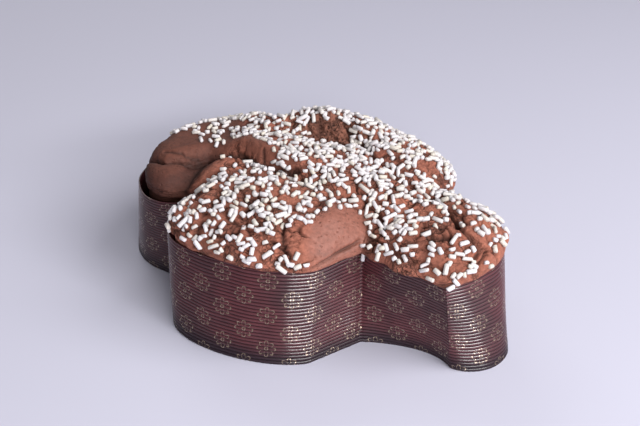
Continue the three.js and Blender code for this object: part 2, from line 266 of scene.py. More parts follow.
# %% [markdown]
# The wall's rows differ only in how far they stand out: by the rib's own section, by soft dents that
# a thin strip never is without, and by the step where its two ends are glued over each other.

# %% Shape of the wall
RIB_PITCH = 2.5
RIB_DEPTH = 0.72
RIB_POWER = 0.9  # below 1 the ridges are broader than the valleys
RIB_PHASES = (0.0, 0.12, 0.3, 0.5, 0.7, 0.88)
RIDGE_INSET = 0.1
PAPER_THICK = 0.8
BACKING = 0.3  # about what is left of the paper behind a valley
INNER_ROWS = 8
FOOT_OFFSETS = (-6.0, -0.75)  # rows of the underside, outwards from the outline
LEAST_ROW = 0.2  # a row closer than this to the rim is left out
LAP_WIDTH, LAP_STEP = 14.0, 0.5  # the glued overlap of the strip's two ends
DENTS = [  # depth, waves round the strip, start of the wave, and its turn for each mm of height
    (0.35, 9, 0.6, 0), (0.25, 17, 0, 1 / 17), (0.2, 31, 0, 0),
]
DENTS_FULL = 25  # height at which the dents are fully there


def wall_row(height, outward):
    """Points of the wall at one height, moved outwards: base and rim outlines mixed by the height."""
    low = base_line + corner_normals(base_line) * np.reshape(outward, (-1, 1))
    high = rim_line + corner_normals(rim_line) * np.reshape(outward, (-1, 1))
    flat = mix(low, high, height / WALL)
    return np.column_stack([flat, np.full(len(flat), height)])


def rib(phase):
    """Across one rib: a rounded ridge between narrow valleys, a power of a sine."""
    return RIB_DEPTH * (np.abs(np.sin(np.pi * phase)) ** RIB_POWER - 1)


def dents(height):
    """Soft waves along the strip, added up: the higher the stronger, and none at the base."""
    turn = 2 * np.pi * strip[:-1] / STRIP_LENGTH
    waves = sum(depth * np.sin(count * turn + start + slope * height) for depth, count, start, slope in DENTS)
    return waves * smooth_step(height, 0, DENTS_FULL)


lap = LAP_STEP * (strip[:-1] < LAP_WIDTH)
heights = [(i + phase) * RIB_PITCH for i in range(int(WALL / RIB_PITCH) + 1) for phase in RIB_PHASES]
heights = [z for z in heights if z < WALL - LEAST_ROW] + [WALL]
outer = [wall_row(z, rib(z / RIB_PITCH) - RIDGE_INSET + dents(z) + lap) for z in heights]
inner = [wall_row(z, -PAPER_THICK - BACKING + dents(z)) for z in np.linspace(WALL, PAPER_THICK, INNER_ROWS)]
foot = [wall_row(0, off) for off in FOOT_OFFSETS]
case_rows = np.stack(foot + outer + inner)
case = mesh_from_rows("paper_strip", case_rows, wall_start)

# %% [markdown]
# The print follows the strip, so the wall gets a UV map measured along it. One unit of the map is one
# repeat of the pattern, a flower at its middle and one at its corners. The last column of faces ends at
# the strip's full length, and not back at zero, so the flowers there are whole.

# %% UV map along the strip
FLOWER_PITCH = (30.0, 25.0)  # one repeat, along the strip and up the wall
PRINT_RISE = 0.75  # sets the flowers' middles on the upper side of a rib, where they show from above
columns = len(strip) - 1
repeats = round(STRIP_LENGTH / FLOWER_PITCH[0])
row_up = np.concatenate([[0] * len(foot), heights, np.full(len(inner), WALL)])
row_up = (row_up + PRINT_RISE) / FLOWER_PITCH[1]


def strip_uv(piece, row_count):
    """Each face corner's place along the strip, in repeats, and its row's height."""
    mesh = piece.data
    corner = np.empty(len(mesh.loops), np.int32)
    mesh.loops.foreach_get("vertex_index", corner)
    row, column = np.divmod(corner, columns)
    u = strip[column] / STRIP_LENGTH * repeats
    quad_count = (row_count - 1) * columns
    wraps = np.zeros(len(corner), bool)
    wraps[: quad_count * 4] = np.tile([False, True, True, False], quad_count)
    u = np.where(wraps & (column == 0), repeats, u)
    layer = mesh.uv_layers.new(name="strip")
    layer.data.foreach_set("uv", np.column_stack([u, row_up[row]]).astype(np.float32).ravel())


strip_uv(case, len(case_rows))
print(repeats, "flowers to a row")

# %% [markdown]
# Where the strip bends inwards, at necks and armpits, hardly any light falls in to glint on the ribs.
# The wall remembers how near each point is to such a bend, and the material takes the gloss away there.

# %% Inner corners of the strip
SHARP_TURN = 0.35  # of the sharpest one
CORNER_REACH = 2.5
turning = np.cross(base_line - np.roll(base_line, 1, axis=0), np.roll(base_line, -1, axis=0) - base_line)
inner_corners = strip[:-1][turning < -SHARP_TURN * np.abs(turning).max()]
to_corner = np.abs(strip[:-1][:, None] - inner_corners[None, :]).min(axis=1)
paint(case, "corner", np.tile(np.exp(-((to_corner / CORNER_REACH) ** 2)), len(case_rows)))
print(len(inner_corners), "inner corners")
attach(case, "root")
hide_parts("paper_case")

# %% [markdown]
# ## The baked crust
# The dough rose as a few mounds: tail, wings, middle and head. Where two meet there is a valley, and
# where the skin was too tight it folded, tore or cracked. So the crust is a height above the rim:
# the soft maximum of the mounds, less the folds, brought down to the rim by a round shoulder.

# %% Mounds, folds and the tear
EDGE_RISE = 5
LEAST_RISE = 9  # between the mounds
SHOULDER = 22
STEEP_NECK = ((-56, 46), (22, 20), 0)  # over the far neck the dough stands up steeply
STEEPNESS = 0.65
MOUND_BLEND = 2.2
MOUNDS = [  # place, reach along and across, turn in degrees, top above the rim, fall at its reach
    ((-98, -6), (46, 56), 0, 20.5, 5),  # tail
    ((-8, -46), (62, 44), 0, 27, 9),  # near wing
    ((18, 50), (62, 46), 0, 29.5, 9),  # far wing
    ((-22, 54), (42, 13), 16, 37.5, 8),  # crest of the far wing
    ((-54, 37), (36, 22), 0, 30.5, 9),  # far side of the neck
    ((-8, 6), (62, 30), -6, 33, 9),  # middle
    ((96, 2), (46, 38), 0, 21, 8),  # head
    ((42, -40), (22, 27), 10, 26, 11),  # smooth bulge behind the near wing
    ((-46, 2), (24, 10), -18, 30.5, 7),  # roll at the neck
]
FOLDS = [  # depth, half width, line; a depth below zero is a roll
    (9, 8, [(-76, -58), (-73, -46), (-77, -30), (-79, -17)]),  # tail from near wing
    (5, 5, [(-79, -12), (-65, -7), (-54, -8.5), (-36, -14), (-12, -16), (14, -18)]),  # wing from middle
    (-3, 6.5, [(-58, -1), (-38, -4), (-17, -8), (-3, -10)]),  # roll behind that seam
    (2, 4, [(-50, 8), (-30, 4), (-10, 0)]),  # behind the roll
    (5, 5, [(-10, 57), (13, 42), (30, 35), (50, 23.5), (70, 24), (94, 14), (108, 1)]),  # far wing from head
    (5, 4, [(-118, -37), (-98, -39), (-86, -29), (-80, -15)]),  # crease of the tail
    (-2.5, 7, [(-116, -22), (-98, -24), (-86, -14)]),  # roll above the crease
    (4, 5, [(64, -32), (53, -22), (41, -17)]),  # behind the smooth bulge
    (3.4, 2.2, [(40, -77), (48, -64), (53, -56), (57.5, -46), (62, -40)]),  # lip under the bulge
]
CRACKS = [  # depth, half width, line
    (3.2, 1.1, [(-119, -36), (-116, -37), (-97, -39), (-86, -29), (-81, -16)]),  # crease of the tail
    (1.8, 0.9, [(-103, -31), (-90, -26), (-82, -17)]),
    (3.2, 1.4, [(-79, -14), (-65, -7), (-54, -8), (-36, -13.5), (-17, -15), (-2, -14.5)]),  # the seam
    (1.5, 0.9, [(-36, -6), (-29, -15)]),  # across the roll
    (2.0, 1.2, [(-75, -56), (-72, -45), (-77.5, -30), (-79.5, -16)]),  # behind the near wing
    (3.4, 1.1, [(-9, -58), (-5, -63), (1, -75), (8, -80)]),  # on the near wing
    (3.0, 1.1, [(22, -62), (24, -69), (31, -77)]),
    (2.6, 1.1, [(-9, 54), (-1, 52), (13, 42), (21, 41), (30, 35), (42, 27), (51, 23), (59, 20)]),
    (3.4, 1.1, [(59, 20), (71, 25), (83, 21), (94, 14), (108, 1)]),  # on to the head
    (3.0, 1.1, [(105, 1), (115, -6), (123, -9), (128, -13), (128, -18)]),  # crescent of the head
]
TEAR = ((-12, 36), (27, 12), 27)
TEAR_DEPTH = 5
print(len(MOUNDS), "mounds,", len(FOLDS), "folds and rolls,", len(CRACKS), "long cracks")


# %% Height of the crust
def inside_out(at, reach, turn, x, y):
    """Squared distance from an ellipse's middle in units of its reach, so 1 is its edge."""
    c, s = np.cos(np.radians(turn)), np.sin(np.radians(turn))
    dx, dy = x - at[0], y - at[1]
    return ((dx * c + dy * s) / reach[0]) ** 2 + ((dy * c - dx * s) / reach[1]) ** 2


def distance_to_line(x, y, line):
    """The least distance to any stretch of a line, each stretch's nearest point clipped to its ends."""
    best = np.full(np.shape(x), np.inf)
    for (ax, ay), (bx, by) in zip(line[:-1], line[1:]):
        dx, dy = bx - ax, by - ay
        t = np.clip(((x - ax) * dx + (y - ay) * dy) / (dx * dx + dy * dy), 0, 1)
        best = np.minimum(best, np.hypot(x - ax - t * dx, y - ay - t * dy))
    return best


def near_line(x, y, line, half):
    """1 on a line, falling like a bell to either side."""
    return np.exp(-((distance_to_line(x, y, line) / half) ** 2))


def full_height(x, y):
    """Height above the rim where the crust is full: the log of summed exponentials, less the folds."""
    total = sum(np.exp((top - fall * inside_out(at, reach, turn, x, y)) / MOUND_BLEND)
                for at, reach, turn, top, fall in MOUNDS)
    height = np.maximum(MOUND_BLEND * np.log(total), LEAST_RISE)
    for depth, half, line in FOLDS:
        height = height - depth * near_line(x, y, line, half)
    return height - TEAR_DEPTH * np.exp(-(inside_out(*TEAR, x, y) ** 2))


print(f"{full_height(0.0, 0.0):.1f} mm above the rim in the middle")

# %% [markdown]
# The dough swelled out over the rim here and drew back from it there. The edge is given by the angle
# from +X, made uneven with hills, and lumpy at the near cheek.

# %% Edge of the crust
CRUST_EDGE = np.array([  # degrees from +X, and how far the crust's edge stands out from the rim
    (-180, -6), (-150, -6.5), (-128, -3.5), (-108, -0.5), (-60, 0.8), (-30, 0.5), (-15, 0.5),
    (0, -0.5), (20, 0), (45, 3), (120, 1), (138, 4), (150, 0), (180, -6),
])
CRUST_STEPS = (60, 26, 24, 28, 60, 25, 44, 34)  # points on each stretch
CHEEK_ANGLE, CHEEK_WIDTH, CHEEK_LUMPS = -23, 10, 2.2


def level(flat, z):
    """A row of flat points at one height, or at a height each."""
    return np.column_stack([flat, np.broadcast_to(z, len(flat))])


rim_fine, base_fine = outline(RIM, CRUST_STEPS), outline(BASE, CRUST_STEPS)
rim_side, base_side = corner_normals(rim_fine), corner_normals(base_fine)
rim_flat = level(rim_fine, 0.0)
rim_angle = np.degrees(np.arctan2(rim_fine[:, 1], rim_fine[:, 0]))
at_cheek = np.exp(-(((rim_angle - CHEEK_ANGLE) / CHEEK_WIDTH) ** 2))
edge = np.interp(rim_angle, *CRUST_EDGE.T)
edge += CHEEK_LUMPS * at_cheek * (0.4 + hills(rim_flat, 8, 9))
edge += 0.9 * smooth_step(edge, -2, 0.5) + 1.1 * hills(rim_flat, 17, 5) + 0.8 * hills(rim_flat, 7, 6)
print(f"edge from {edge.min():.1f} to {edge.max():.1f} mm outside the rim")

# %% [markdown]
# Above the rim, rows of points shrink towards a line from tail to head, because no single point sees
# the whole outline. They crowd towards the edge, where the crust turns down most, and the shoulder
# takes each point's height from its distance to the rim.

# %% Rows of the dome
DOME_ROWS = 148
ROW_CROWDING = 1.25
SPINE_EVEN, SPINE_REACH = 0.3, 0.8  # how evenly the line's points are spaced, and its share of the length
COARSE_STEPS = (14, 6, 7, 12, 16, 5, 14, 16)
TAIL_X, HEAD_X = RIM["tail_tip"][0], RIM["head_tip"][0]
mirror_x = (rim_fine[:, 0] + np.roll(rim_fine[::-1, 0], 1)) / 2
ramp = np.abs(np.linspace(-1, 1, len(rim_fine), endpoint=False)) * (HEAD_X - TAIL_X)
spine_x = mix(mirror_x, ramp + TAIL_X, SPINE_EVEN) * SPINE_REACH
spine = np.column_stack([spine_x, np.zeros(len(rim_fine))])
rim_coarse = outline(RIM, COARSE_STEPS)
rim_closed = np.vstack([rim_coarse, rim_coarse[:1]])


def beside_rim(points, off):
    """Points of a row moved sideways by the rim's normals, which keep length one outwards."""
    length = np.where(off > 0, np.linalg.norm(rim_side, axis=1), 1)
    return points + rim_side * (off / length)[:, None]


def shoulder(x, y):
    """From 0 at the rim to 1 where the crust is full: a quarter ellipse of the distance to the rim."""
    reach = SHOULDER * (1 - STEEPNESS * np.exp(-inside_out(*STEEP_NECK, x, y)))
    t = np.minimum(distance_to_line(x, y, rim_closed) / reach, 1)
    return np.sqrt(1 - (1 - t) ** 2)


dome_rows = []
for r in range(DOME_ROWS):
    x, y = mix(rim_fine, spine, (r / DOME_ROWS) ** ROW_CROWDING).T
    bend = shoulder(x, y)
    z = WALL + EDGE_RISE + (full_height(x, y) - EDGE_RISE) * bend
    dome_rows.append(level(beside_rim(np.column_stack([x, y]), edge * (1 - bend)), z))
print(f"highest row point {max(row[:, 2].max() for row in dome_rows):.1f} mm")

# %% [markdown]
# Inside the case the dough follows the wall, a little off the paper. Near the rim it draws in to the
# mouth, and just above it the lip swells out to the edge that was worked out before.

# %% Rows of the side and the lip
INSIDE = -2.0  # the dough's side, from the outside of the wall
SIDE = (  # height, and how far the row has drawn in to the mouth
    (cake_low[2], 0), (WALL / 3, 0.3), (WALL * 0.6, 0.8), (WALL - 12, 1), (WALL - 6, 1),
)
LIP = (  # rise above the rim, and how far the row has swelled out to the edge
    (-2.5, 0.0), (0.2, 0.0), (0.25, 0.7), (1.2, 1.1), (2.6, 1.16), (4.0, 1.1),
)
mouth = INSIDE + np.minimum(edge, 0)
side_rows = []
for z, drawn_in in SIDE:
    flat = mix(base_fine, rim_fine, z / WALL)
    off = mix(INSIDE, mouth, drawn_in)[:, None]
    side_rows.append(level(flat + mix(base_side, rim_side, z / WALL) * off, z))
lip_rows = [level(beside_rim(rim_fine, mix(mouth, edge, part)), WALL + rise) for rise, part in LIP]
crust_rows = np.stack(side_rows + lip_rows + dome_rows)
print("crust rows", crust_rows.shape[:2])

# %% [markdown]
# ## Relief of the crust
# The relief is added along the surface's own normals, so upright places get it too. First comes where
# the skin is special: the smooth bulge, the tail and the roll stay tight, and the tear is open crumb.

# %% Tight and torn skin
BULGE = ((50, -45), (15, 27), -4)
TAIL = ((-108, -16), (44, 58), 0)
ROLL = ((-36, -2), (36, 9), -12)
OPEN_CRUMB = ((-15, 44), (31, 15), 20)


def row_normals(rows):
    """Unit normals of a grid from the cross product of its steps round the row and up the rows."""
    round_step = np.roll(rows, -1, axis=1) - np.roll(rows, 1, axis=1)
    up_step = np.gradient(rows, axis=0)
    cross = np.cross(round_step, up_step)
    return cross / np.maximum(np.linalg.norm(cross, axis=2, keepdims=True), 1e-9)


def within(place, low, high):
    """For each point of the skin, 1 inside an ellipse and 0 outside, eased between two squared sizes."""
    return 1 - smooth_step(inside_out(*place, x, y), low, high)


crust_normals = row_normals(crust_rows).reshape(-1, 3)
skin = crust_rows.reshape(-1, 3)
x, y, z = skin.T
above = smooth_step(z, WALL - 1, WALL + 6)
smooth_bulge = within(BULGE, 0.5, 1.4)
smooth_tail = within(TAIL, 0.6, 1.2)
smooth_roll = within(ROLL, 0.6, 1.3)
torn = within(OPEN_CRUMB, 0.55, 1.25)
tight = np.maximum.reduce([smooth_bulge, smooth_tail, smooth_roll])
# The lower face of the tail. Its skin was pulled into strands there, and shade is painted there as well.
stretched_and_shaded = smooth_tail * (1 - smooth_step(z, WALL + 12, WALL + 18))
print(f"{(tight > 0.5).mean():.0%} of the points have tight skin, {(torn > 0.5).mean():.0%} are torn")

# %% [markdown]
# A dry crust cracks in cells. The borders of random cells give that, bent by noise so that none runs
# straight, and broken up in patches so that they come and go. The long cracks and the crease of the lip are
# drawn one by one, because the eye knows them.

# %% Cracks
WANDER_SEEDS = (11, 12, 13)
CRACK_WIDTH, CELL_ROUND, FINE_WIDTH = 1.0, 4.5, 0.7
LIP_HEIGHT = ((-80, -67, -36), (1.5, 4.5, 9.5))  # at these y, so far above the rim
# LIP_SHADE sets how dark the shade painted into the lip crease is.
LIP_WIDTH, LIP_SHADE, LIP_DEPTH = 1.1, 0.75, 2.2
wander = np.stack([layered(skin, 9, seed, 3, 0.6) for seed in WANDER_SEEDS], axis=1)
warped = skin + 2.4 * wander
borders = cell_borders(warped, 15, 21)
patches = smooth_step(hills(skin, 17, 31), -0.35, 0.25) * (1 - 0.92 * tight)
cracks = np.exp(-((borders / CRACK_WIDTH) ** 2)) * patches
cells = (1 - np.exp(-((borders / CELL_ROUND) ** 2))) * (1 - 0.85 * tight)
fine_cracks = np.exp(-((cell_borders(warped * [1, 1, 1.4], 6.5, 22) / FINE_WIDTH) ** 2))
fine_cracks *= smooth_step(hills(skin, 12, 32), 0, 0.45) * (1 - tight)
drawn, drawn_depth = np.zeros(len(skin)), np.zeros(len(skin))
meander = skin + 1.1 * wander
for depth, half, line in CRACKS:
    line_share = near_line(meander[:, 0], meander[:, 1], line, half)
    drawn = np.maximum(drawn, line_share)
    drawn_depth = np.maximum(drawn_depth, depth * line_share)
lip_crease = np.exp(-(((z - (WALL + np.interp(y, *LIP_HEIGHT))) / LIP_WIDTH) ** 2))
lip_crease = lip_crease * smooth_step(x, 36, 46) * smooth_step(-y, 34, 38)
# The lip crease joins the drawn cracks, which get painted shade.
drawn = np.maximum(drawn, LIP_SHADE * lip_crease)
drawn_depth = np.maximum(drawn_depth, LIP_DEPTH * lip_crease)
print(f"deepest drawn crack {drawn_depth.max():.1f} mm")

# %% [markdown]
# Between the cracks the crust is lumpy and grainy, and the tear shows rough crumb. All of it adds up to one
# height along the normals. How deep a point lies in a fold or crack is kept for the colour, which paints
# shade into such places.

# %% Add up the relief
CRACK_DEPTH, FINE_DEPTH = 3.0, 1.2
lumps = 1.0 * hills(skin, 26, 41) + 0.7 * hills(skin, 11, 42) + 0.25 * hills(skin, 6, 47) * (1 - tight)
grain = 0.55 * layered(skin, 4.6, 43, 3, 0.65) * (1 - 0.8 * tight)
crumb = torn * (2.0 * layered(skin, 5.5, 44, 3, 0.65) + 0.5 * cell_borders(skin, 5, 45) + 0.3)
relief = lumps + grain + crumb + cells - CRACK_DEPTH * cracks - FINE_DEPTH * fine_cracks - drawn_depth
crust_points = skin + crust_normals * (above * relief)[:, None]
# Painted shade in folds and cracks: how deep a point lies, kept for the colour.
fold_shade = sum(depth / 9 * near_line(x, y, line, half * 0.5) for depth, half, line in FOLDS if depth > 0)
deep = np.clip(np.maximum(cracks, drawn) + 0.5 * fine_cracks + 0.5 * fold_shade, 0, 1) * above
# Where the tail is painted darker as shade. The neck roll gets part of the same darker brown.
shaded_tail_and_roll = np.maximum(smooth_tail, 0.6 * smooth_roll)

crust = mesh_from_rows("baked_crust", crust_points.reshape(crust_rows.shape))
painted = dict(deep=deep, tight=tight, torn=torn, bulge=smooth_bulge, tail=shaded_tail_and_roll, stretched_and_shaded=stretched_and_shaded)
for label, values in painted.items():
    paint(crust, label, values)
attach(crust, "root")
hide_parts("cake")

# %% [markdown]
# ## Sugar nibs
# The nibs are short rods of pressed sugar, thrown on by hand: crowded along the middle and the far
# wing, thinner on the near wing and the head, and none where the skin stretched after they went on.
# So each point of the crust gets a chance by its place and by the area round it.

# %% Where nibs fall
CROWD, BAND_CROWD, FAR_WING_CROWD = 0.56, 0.3, 1.0
MIDDLE_BAND = [(-78, 42), (-40, 18), (10, 2), (48, 6), (64, 2)]
BAND_WIDTH = 26
FAR_WING = ((34, 66), (62, 34), 0)
BARE = [
    ((-108, -44), (48, 44), -8), ((50, -45), (13, 25), -4), ((-14, 43), (17, 8), 20),
    ((-51, -2), (18, 8), -12), ((64, 46), (11, 9), 0), ((-80, -24), (15, 22), 0), ((36, -66), (16, 8), 30),
    ((-62, -5), (12, 8), 0), ((-55, -25), (22, 13), -8),
]
LEFT_ON_BARE = 0.03
THIN = [  # how much fewer, and where: head, top of the tail, roll
    (0.66, ((104, -4), (42, 42), 0)), (0.5, ((-104, 14), (40, 26), 0)), (0.6, ((-30, -7), (18, 7), -12)),
]
TAIL_FACE = ((-112, -50), (44, 46), 0)

crowd = CROWD + BAND_CROWD * near_line(x, y, MIDDLE_BAND, BAND_WIDTH)
crowd += FAR_WING_CROWD * np.exp(-inside_out(*FAR_WING, x, y))
crowd *= 1 + 0.5 * hills(skin, 14, 51) + 0.4 * hills(skin, 7, 52)
for place in BARE:
    crowd *= mix(1, LEFT_ON_BARE, within(place, 0.75, 1.25))
for fewer, place in THIN:
    crowd *= 1 - fewer * np.exp(-inside_out(*place, x, y))
crowd *= 1 - within(TAIL_FACE, 0.7, 0.9)
crowd = np.clip(crowd, 0, None) * smooth_step(z, WALL + 1.5, WALL + 9) * (1 - 0.7 * deep)
round_step = np.roll(crust_rows, -1, axis=1) - crust_rows
area = np.linalg.norm(np.cross(round_step, np.gradient(crust_rows, axis=0)), axis=2).ravel()
share = crowd * area * (0.7 + 0.3 * np.clip(crust_normals[:, 2], 0, 1))
print(f"nibs may fall on {(share > 0).mean():.0%} of the points")

# %% [markdown]
# The nibs are drawn from these chances one by one. A plain draw would put some into each other, so each
# is measured against all that lie already, and stays only if it has the room that it asks for.

# %% Draw the nibs
NIB_COUNT = 1380
NIB_SEED = 7
NIB_ROOM = (2.2, 3.3)  # least distance from one nib's middle to the next
rng = np.random.default_rng(NIB_SEED)
kept = []
spots = np.full((NIB_COUNT, 3), np.inf)
while len(kept) < NIB_COUNT:
    for candidate in rng.choice(len(skin), NIB_COUNT, p=share / share.sum()):
        away = np.linalg.norm(spots - crust_points[candidate], axis=1).min()
        if len(kept) < NIB_COUNT and away > rng.uniform(*NIB_ROOM):
            spots[len(kept)] = crust_points[candidate]
            kept.append(candidate)
print(len(kept), "nibs")

# %% [markdown]
# One rod with blunt, slightly slanted ends serves for all: 34 points and 40 faces, repeated as arrays.
# Particles could do it too, but one joined mesh is simpler to hand on, and every rod stays its own size.

# %% One rod, many times
NIB_SIDES = 8
RINGS = ((-1, 0.08, 0.74), (-1, 0.45, 1.0), (1, 0.45, 1.0), (1, 0.08, 0.74))  # end, distance to it, width
END_SLANT = 0.35


def rods(centres, axes, ups, lengths, radii, slant):
    """Rods as arrays: four rings each, the end rings narrower and slanted, closed by two end points.

    A point is the centre, plus the axis times its place along, plus the ring's circle.
    """
    turn = np.arange(NIB_SIDES) / NIB_SIDES * 2 * np.pi
    across = np.cross(ups, axes)
    circle = np.cos(turn)[:, None, None] * across + np.sin(turn)[:, None, None] * ups
    rings = []
    for end, tuck, width in RINGS:
        reach = end * (lengths / 2 - tuck) + slant * end * radii * np.cos(turn)[:, None] * END_SLANT
        rings.append(centres + reach[..., None] * axes + circle * (radii * width)[None, :, None])
    tips = [centres + (end * lengths / 2)[:, None] * axes for end in (-1, 1)]
    points = np.concatenate([np.stack(rings).reshape(4 * NIB_SIDES, -1, 3), np.stack(tips)])
    return points.transpose(1, 0, 2)


def rod_faces(count):
    """Corner numbers for every rod: three bands of quads and a fan at each end."""
    i = np.arange(NIB_SIDES)
    j = (i + 1) % NIB_SIDES
    bands = [np.stack([i + k, j + k, j + k + NIB_SIDES, i + k + NIB_SIDES], axis=1)
             for k in (0, NIB_SIDES, 2 * NIB_SIDES)]
    first, last = 4 * NIB_SIDES, 4 * NIB_SIDES + 1
    fans = [np.stack([np.full(NIB_SIDES, first), j, i], axis=1),
            np.stack([np.full(NIB_SIDES, last), i + 3 * NIB_SIDES, j + 3 * NIB_SIDES], axis=1)]
    start = np.arange(count)[:, None, None] * (4 * NIB_SIDES + 2)
    quads = (np.concatenate(bands)[None] + start).reshape(-1, 4)
    triangles = (np.concatenate(fans)[None] + start).reshape(-1, 3)
    return quads, triangles


# %% [markdown]
# A thrown rod comes to rest flat on the crust, pointing anywhere, sunk into it a little, and now and
# then it leans. Two rolled off the edge and got stuck in the corner behind the near wing.

# %% Lay the rods
NIB_RADIUS = (1.15, 1.62)
NIB_LENGTH, NIB_LONGER, NIB_BETA = 3.0, 6.8, (1.0, 3.1)  # most are short, a few up to three times as long
NIB_LIFT = (0.55, 0.95)  # of the radius
LEAN, ODD_SHARE, ODD_LEAN = 0.1, 0.02, 0.25  # in radians
WEDGED = [  # place, axis, up and length
    ((62.2, -35.9, 66.8), (0.06, 0.1, 0.99), (0.99, 0.0, -0.06), 6.5),
    ((69.0, -35.2, 71.5), (0.96, -0.2, 0.15), (-0.15, 0.0, 0.98), 5.5),
]
count = len(kept)
up = crust_normals[kept]
flat_turn = rng.uniform(0, 2 * np.pi, count)
guess = np.column_stack([np.cos(flat_turn), np.sin(flat_turn), rng.normal(0, 0.2, count)])
axis = guess - (guess * up).sum(axis=1, keepdims=True) * up
axis /= np.linalg.norm(axis, axis=1, keepdims=True)
lean = rng.normal(0, LEAN, count) + (rng.random(count) < ODD_SHARE) * ODD_LEAN
axis = axis * np.cos(lean)[:, None] + up * np.sin(lean)[:, None]
up = up - (up * axis).sum(axis=1, keepdims=True) * axis
up /= np.linalg.norm(up, axis=1, keepdims=True)
radii = rng.uniform(*NIB_RADIUS, count)
lengths = NIB_LENGTH + NIB_LONGER * rng.beta(*NIB_BETA, count)
lift = radii * rng.uniform(*NIB_LIFT, count) + np.abs(np.sin(lean)) * lengths / 2.4
centres = crust_points[kept] + crust_normals[kept] * lift[:, None]
for i, (place, wedged_axis, wedged_up, length) in enumerate(WEDGED):
    centres[i], axis[i], up[i], lengths[i] = place, wedged_axis, wedged_up, length
nib_points = rods(centres, axis, up, lengths, radii, rng.uniform(-1, 1, count))
nibs = mesh_from_arrays("sugar_nibs", nib_points.reshape(-1, 3), *rod_faces(count))
paint(nibs, "tone", np.repeat(rng.random(count) ** 3, 4 * NIB_SIDES + 2))
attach(nibs, "root")
print(f"nibs from {lengths.min():.1f} to {lengths.max():.1f} mm long")

# %% [markdown]
# ## Materials
# Three finishes: satin paper with a metallic print, a matt crust, and white sugar. A small helper adds
# nodes by name and links their inputs, so each recipe reads from top to bottom.

# %% Node helpers
def new_material(name):
    """A material with a Principled shader at its output, and its node tree."""
    material = bpy.data.materials.new(name)
    material.use_nodes = True
    return material, material.node_tree, material.node_tree.nodes["Principled BSDF"]


def feed(made, **inputs):
    """Give a node's inputs values or sockets, by the input's name with _ for a space, or in0, in1."""
    for key, value in inputs.items():
        place = int(key[2:]) if key[:2] == "in" and key[2:].isdigit() else key.replace("_", " ")
        if isinstance(value, bpy.types.NodeSocket):
            made.id_data.links.new(value, made.inputs[place])
        else:
            made.inputs[place].default_value = value


def node(tree, kind, settings=(), **inputs):
    """Add a shader node with its settings and inputs."""
    made = tree.nodes.new("ShaderNode" + kind)
    for key, value in dict(settings).items():
        setattr(made, key, value)
    feed(made, **inputs)
    return made


def calc(tree, operation, *values):
    """One Math node, its inputs in order."""
    return node(tree, "Math", {"operation": operation},
                **{f"in{i}": value for i, value in enumerate(values)}).outputs[0]


def times(tree, a, b):
    """The product of two masks or numbers."""
    return calc(tree, "MULTIPLY", a, b)


def rest_of(tree, mask):
    """The mask turned over: one less its value."""
    return calc(tree, "SUBTRACT", 1.0, mask)


def spread(tree, value, low, high):
    """From 0 at low to 1 at high, smoothly."""
    return node(tree, "MapRange", {"interpolation_type": "SMOOTHSTEP"},
                in0=value, in1=low, in2=high).outputs[0]


def colour_mix(tree, share, a, b, blend="MIX"):
    """A Mix node on colours."""
    return node(tree, "Mix", {"data_type": "RGBA", "blend_type": blend},
                in0=share, in6=a, in7=b).outputs[2]


def attribute(tree, name):
    """A number kept on the piece's points."""
    return node(tree, "Attribute", {"attribute_name": name}).outputs["Fac"]


def object_place(tree):
    """The object's own coordinates, in metres."""
    return node(tree, "TexCoord").outputs["Object"]


def noise(tree, place, scale, detail, **more):
    """A noise texture's value."""
    return node(tree, "TexNoise", Vector=place, Scale=scale, Detail=detail, **more).outputs[0]


def voronoi(tree, place, scale):
    """The distance to the nearest of a texture's random points, in cells."""
    return node(tree, "TexVoronoi", Vector=place, Scale=scale).outputs["Distance"]


def bump(tree, height, strength, distance):
    """A height turned into a normal; distance is in metres."""
    return node(tree, "Bump", Strength=strength, Distance=distance, Height=height).outputs[0]


def new_group(name, output, **inputs):
    """A node group with one number put out and inputs by name and kind; its input and output nodes."""
    group = bpy.data.node_groups.new(name, "ShaderNodeTree")
    for label, kind in inputs.items():
        group.interface.new_socket(label, in_out="INPUT", socket_type="NodeSocket" + kind)
    group.interface.new_socket(output, in_out="OUTPUT", socket_type="NodeSocketFloat")
    return group, group.nodes.new("NodeGroupInput").outputs, group.nodes.new("NodeGroupOutput")


def placed(tree, group, **values):
    """What a node group puts out when it is placed with this finish's own values."""
    return node(tree, "Group", {"node_tree": group}, **values).outputs[0]


# %% [markdown]
# Neither paper nor crust has an even colour. Both are mottled by the same effect, so it is a group:
# speckle multiplies a colour by fine noise on the object's own coordinates.

# %% Shared group: speckle
speckle, given, result = new_group("speckle", "Shade", Size="Float", Amount="Float")
mottle = noise(speckle, object_place(speckle), given["Size"], 4.0, Roughness=0.6)
mottle = times(speckle, calc(speckle, "SUBTRACT", mottle, 0.5), given["Amount"])
feed(result, Shade=calc(speckle, "ADD", mottle, 1.0))
print("speckle:", len(speckle.nodes), "nodes")

# %% [markdown]
# ### Paper
# The print is a plain rosette: eight petals in outline and a ring at its heart. It is worked out from
# the angle and the distance to the middle of a repeat, and a second copy, half a repeat along and up,
# staggers the rows.

# %% Printed rosette
PETALS = 8
PETAL_FOOT, PETAL_LENGTH, PETAL_ROUND = 2.0, 4.0, 0.6
HEART_RADIUS = 1.0
PETAL_LINE, HEART_LINE = 0.36, 0.3  # half widths
rosette, given, result = new_group("rosette", "Mask", Strip="Vector", Shift="Float")
split = node(rosette, "SeparateXYZ", in0=given["Strip"]).outputs
rosette_shift = given["Shift"]


def from_middle(socket, pitch):
    """Millimetres from the middle of the repeat, for one direction."""
    shifted = calc(rosette, "ADD", socket, rosette_shift)
    return times(rosette, calc(rosette, "SUBTRACT", calc(rosette, "FRACT", shifted), 0.5), pitch)


def line_mask(off, half):
    """1 where off is under half a line's width, soft at its edge."""
    return rest_of(rosette, spread(rosette, calc(rosette, "ABSOLUTE", off), half * 0.5, half * 1.4))


